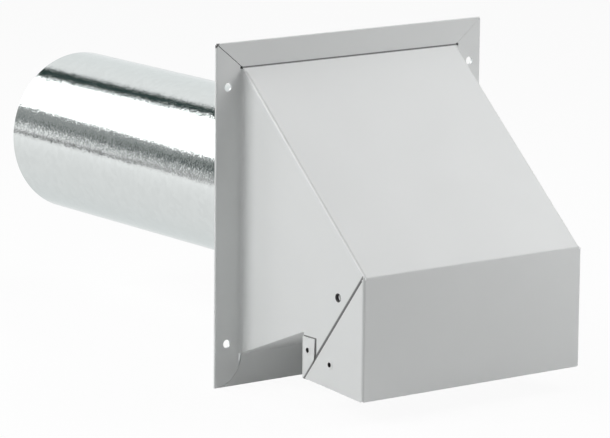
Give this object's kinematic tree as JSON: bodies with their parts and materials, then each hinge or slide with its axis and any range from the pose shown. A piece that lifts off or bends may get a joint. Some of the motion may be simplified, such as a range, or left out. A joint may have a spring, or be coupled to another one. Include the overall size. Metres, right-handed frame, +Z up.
{
  "type": "dryer vent cap",
  "caption": "Folded sheet metal wall cap for a 4 inch dryer duct: sloped hood open downward, hemmed wall flange, long tail pipe and a spring closed backdraft damper inside.",
  "frame": {"origin": "on the duct's axis, in the plane of the flange's back, which lies against the wall", "axes": "+Z up, +X to the right as seen from outside the house, +Y into the wall along the tail pipe; the hood projects to -Y"},
  "size_m": [0.1958, 0.4069, 0.2038],
  "materials": {
    "painted_sheet": "semi-gloss",
    "galvanized_sheet": "spangled",
    "damper_sheet": "mill",
    "rivets": "satin",
    "rod_steel": "bright",
    "spring_steel": "bright",
    "bush_plastic": "moulded",
    "foam": "foam"
  },
  "bodies": {
    "cap": {"hood_shell": "painted_sheet", "bottom_pan": "painted_sheet", "wall_plate": "galvanized_sheet", "duct_pipe": "galvanized_sheet", "tab_rivets": "rivets", "flap_rivets": "rivets", "left_rod_bush": "bush_plastic", "right_rod_bush": "bush_plastic", "lower_seal": "foam", "upper_seal": "foam"},
    "damper": {"damper_plate": "damper_sheet", "damper_rod": "rod_steel", "left_rod_clip": "galvanized_sheet", "right_rod_clip": "galvanized_sheet", "clip_rivets": "rivets", "damper_spring": "spring_steel"}
  },
  "joints": [
    {"name": "damper_hinge", "type": "hinge", "parent": "cap", "child": "damper", "pos_m": [0, -0.09485, -0.033], "axis": [-1, 0, 0], "range_deg": [0, 52], "stiffness_Nm_per_rad": 0.004, "springref_deg": -51.57, "deforming": ["damper_spring"]}
  ]
}
